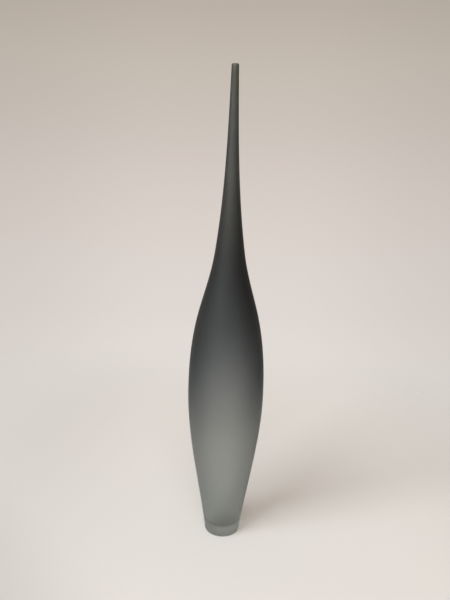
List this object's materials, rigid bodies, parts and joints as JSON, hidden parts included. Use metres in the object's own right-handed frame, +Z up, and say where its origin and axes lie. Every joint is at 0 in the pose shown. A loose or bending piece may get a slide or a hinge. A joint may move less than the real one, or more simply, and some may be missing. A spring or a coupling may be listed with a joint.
{
  "type": "bottle vase",
  "caption": "Tall free-standing blown-glass bottle vase with a long drawn neck, a full shoulder and a thick clear foot; a grey inner layer fades towards the base.",
  "frame": {"origin": "centre of the foot, on the surface that the vase stands on", "axes": "+Z up along the vase's axis of turning, from the foot to the lip; the vase is round, so +X and +Y are free"},
  "size_m": [0.1064, 0.1064, 0.65],
  "materials": {
    "clear_satin_glass": "acid-etched satin outside, clear in the mass, with a ground and polished hollow under the foot",
    "grey_glass": "smooth, transparent dark grey, deep at the shoulder and neck and thinning to a pale film over the foot"
  },
  "bodies": {
    "root": {"clear_casing": "clear_satin_glass", "grey_lining": "grey_glass"}
  },
  "joints": []
}
